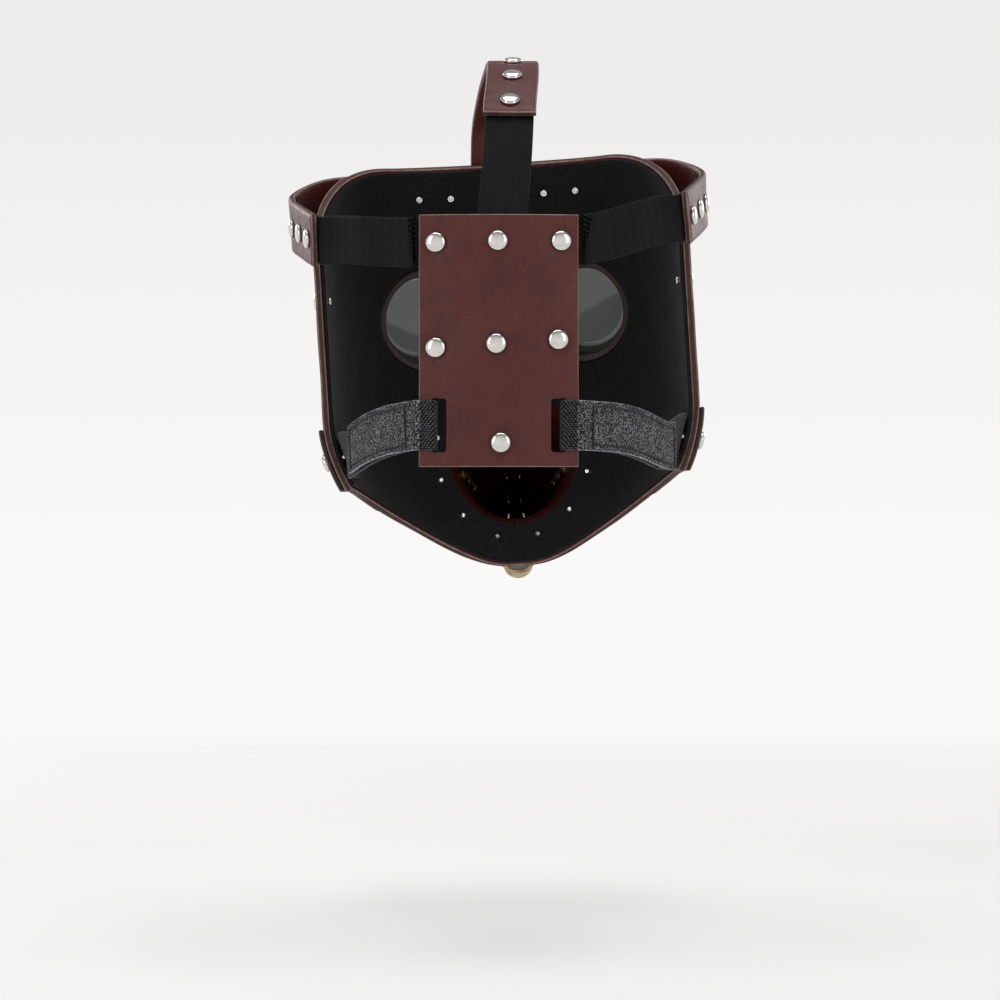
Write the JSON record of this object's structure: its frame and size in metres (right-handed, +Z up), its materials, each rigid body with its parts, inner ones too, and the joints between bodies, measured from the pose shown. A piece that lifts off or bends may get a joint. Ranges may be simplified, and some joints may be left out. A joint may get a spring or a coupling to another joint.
{
  "type": "plague doctor mask",
  "caption": "Leather mask with a long drooping riveted beak and round goggles, held on by a crown strap, elastic temple bands and webbing cheek straps that meet at a riveted rear panel.",
  "frame": {"origin": "centre of the wearer's head at eye level, between the ears", "axes": "+X to the wearer's left, +Y rearward, towards the rear panel, +Z up; the beak points along -Y"},
  "size_m": [0.1822, 0.3778, 0.2259],
  "materials": {
    "brown_leather": "semi-matt reddish brown with pale cut edges",
    "trim_leather": "darker reddish brown, semi-matt",
    "lining": "matt black backing cloth",
    "nickel": "bright nickel plate",
    "aged_brass": "aged, darkened in the recesses",
    "lens_glass": "smoked and clear",
    "black_rubber": "matt",
    "elastic": "black woven elastic",
    "webbing": "charcoal brushed loop webbing",
    "hook_tape": "black hook tape"
  },
  "bodies": {
    "mask": {"face_shell": "brown_leather", "face_lining": "lining", "beak_left": "brown_leather", "beak_right": "brown_leather", "beak_ridge_strip": "trim_leather", "beak_keel_strip": "trim_leather", "beak_collar": "trim_leather", "beak_tip": "aged_brass", "beak_rivets": "nickel", "collar_rivets": "nickel", "breather_eyelets": "aged_brass", "goggle_base_left": "trim_leather", "goggle_base_right": "trim_leather", "goggle_bezel_left": "aged_brass", "goggle_bezel_right": "aged_brass", "lens_left": "lens_glass", "lens_right": "lens_glass", "lens_gasket_left": "black_rubber", "lens_gasket_right": "black_rubber", "goggle_screws": "nickel", "crown_strap": "brown_leather", "crown_rivets": "nickel", "temple_strap_left": "brown_leather", "temple_strap_right": "brown_leather", "temple_rivets_left": "nickel", "temple_rivets_right": "nickel", "brow_rivets": "nickel", "cheek_tab_left": "trim_leather", "cheek_tab_right": "trim_leather", "cheek_rivets": "nickel"},
    "harness": {"back_panel": "brown_leather", "panel_lining": "lining", "panel_rivets": "nickel", "elastic_crown": "elastic", "elastic_temple_left": "elastic", "elastic_temple_right": "elastic", "cheek_strap_left": "webbing", "cheek_strap_right": "webbing"},
    "left_tail": {"strap_tail_left": "webbing", "hook_pad_left": "hook_tape"},
    "right_tail": {"strap_tail_right": "webbing", "hook_pad_right": "hook_tape"}
  },
  "joints": [
    {"name": "harness_stretch", "type": "slide", "parent": "mask", "child": "harness", "axis": [0, 1, 0], "range_m": [0, 0.025], "stiffness_N_per_m": 180, "springref_m": -0.01, "deforming": ["elastic_crown", "elastic_temple_left", "elastic_temple_right", "cheek_strap_left", "cheek_strap_right"]},
    {"name": "left_tail_peel", "type": "hinge", "parent": "harness", "child": "left_tail", "pos_m": [0.03491, 0.10001, -0.0362], "axis": [0, 0, 1], "range_deg": [0, 110]},
    {"name": "right_tail_peel", "type": "hinge", "parent": "harness", "child": "right_tail", "pos_m": [-0.02791, 0.10001, -0.0362], "axis": [0, 0, -1], "range_deg": [0, 110]}
  ]
}
